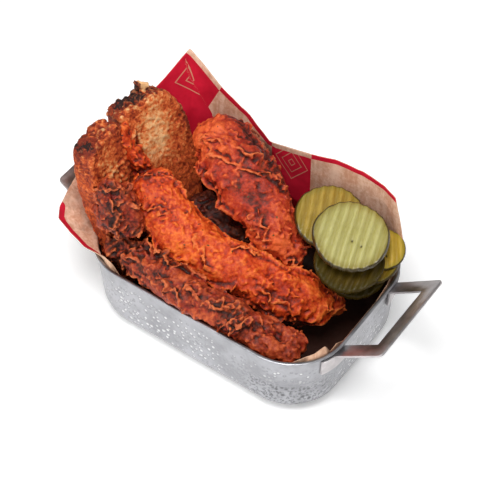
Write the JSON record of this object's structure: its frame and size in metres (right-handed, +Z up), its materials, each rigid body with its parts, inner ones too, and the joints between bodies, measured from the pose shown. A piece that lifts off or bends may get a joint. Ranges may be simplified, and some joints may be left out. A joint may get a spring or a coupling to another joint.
{
  "type": "fried chicken tender basket",
  "caption": "Fried chicken tenders with grilled toast and crinkle-cut pickle chips in a paper-lined hammered metal basket with two strip handles.",
  "frame": {"origin": "centre of the basket's flat underside", "axes": "+X along the basket, from the toast end to the pickle end; +Y to the side where the paper stands up; +Z up"},
  "size_m": [0.2226, 0.1195, 0.1173],
  "materials": {
    "pan": "hammered, satin",
    "handle_left": "satin",
    "handle_right": "satin",
    "liner": "matt, checked in crimson and kraft",
    "toast_a": "toasted crumb, stands for bread",
    "toast_b": "toasted crumb, stands for bread",
    "tender_1": "fried coating, stands for chicken",
    "tender_2": "fried coating, stands for chicken",
    "tender_3": "fried coating, stands for chicken",
    "tender_4": "fried coating, stands for chicken",
    "tender_5": "fried coating, stands for chicken",
    "tender_6": "fried coating, stands for chicken",
    "pickle_1": "moist, stands for pickled cucumber",
    "pickle_2": "moist, stands for pickled cucumber",
    "pickle_3": "moist, stands for pickled cucumber",
    "pickle_4": "moist, stands for pickled cucumber",
    "pickle_5": "moist, stands for pickled cucumber",
    "pickle_6": "moist, stands for pickled cucumber"
  },
  "bodies": {
    "root": {"pan": "pan", "handle_left": "handle_left", "handle_right": "handle_right", "liner": "liner", "toast_a": "toast_a", "toast_b": "toast_b", "tender_1": "tender_1", "tender_2": "tender_2", "tender_3": "tender_3", "tender_4": "tender_4", "tender_5": "tender_5", "tender_6": "tender_6", "pickle_1": "pickle_1", "pickle_2": "pickle_2", "pickle_3": "pickle_3", "pickle_4": "pickle_4", "pickle_5": "pickle_5", "pickle_6": "pickle_6"}
  },
  "joints": []
}
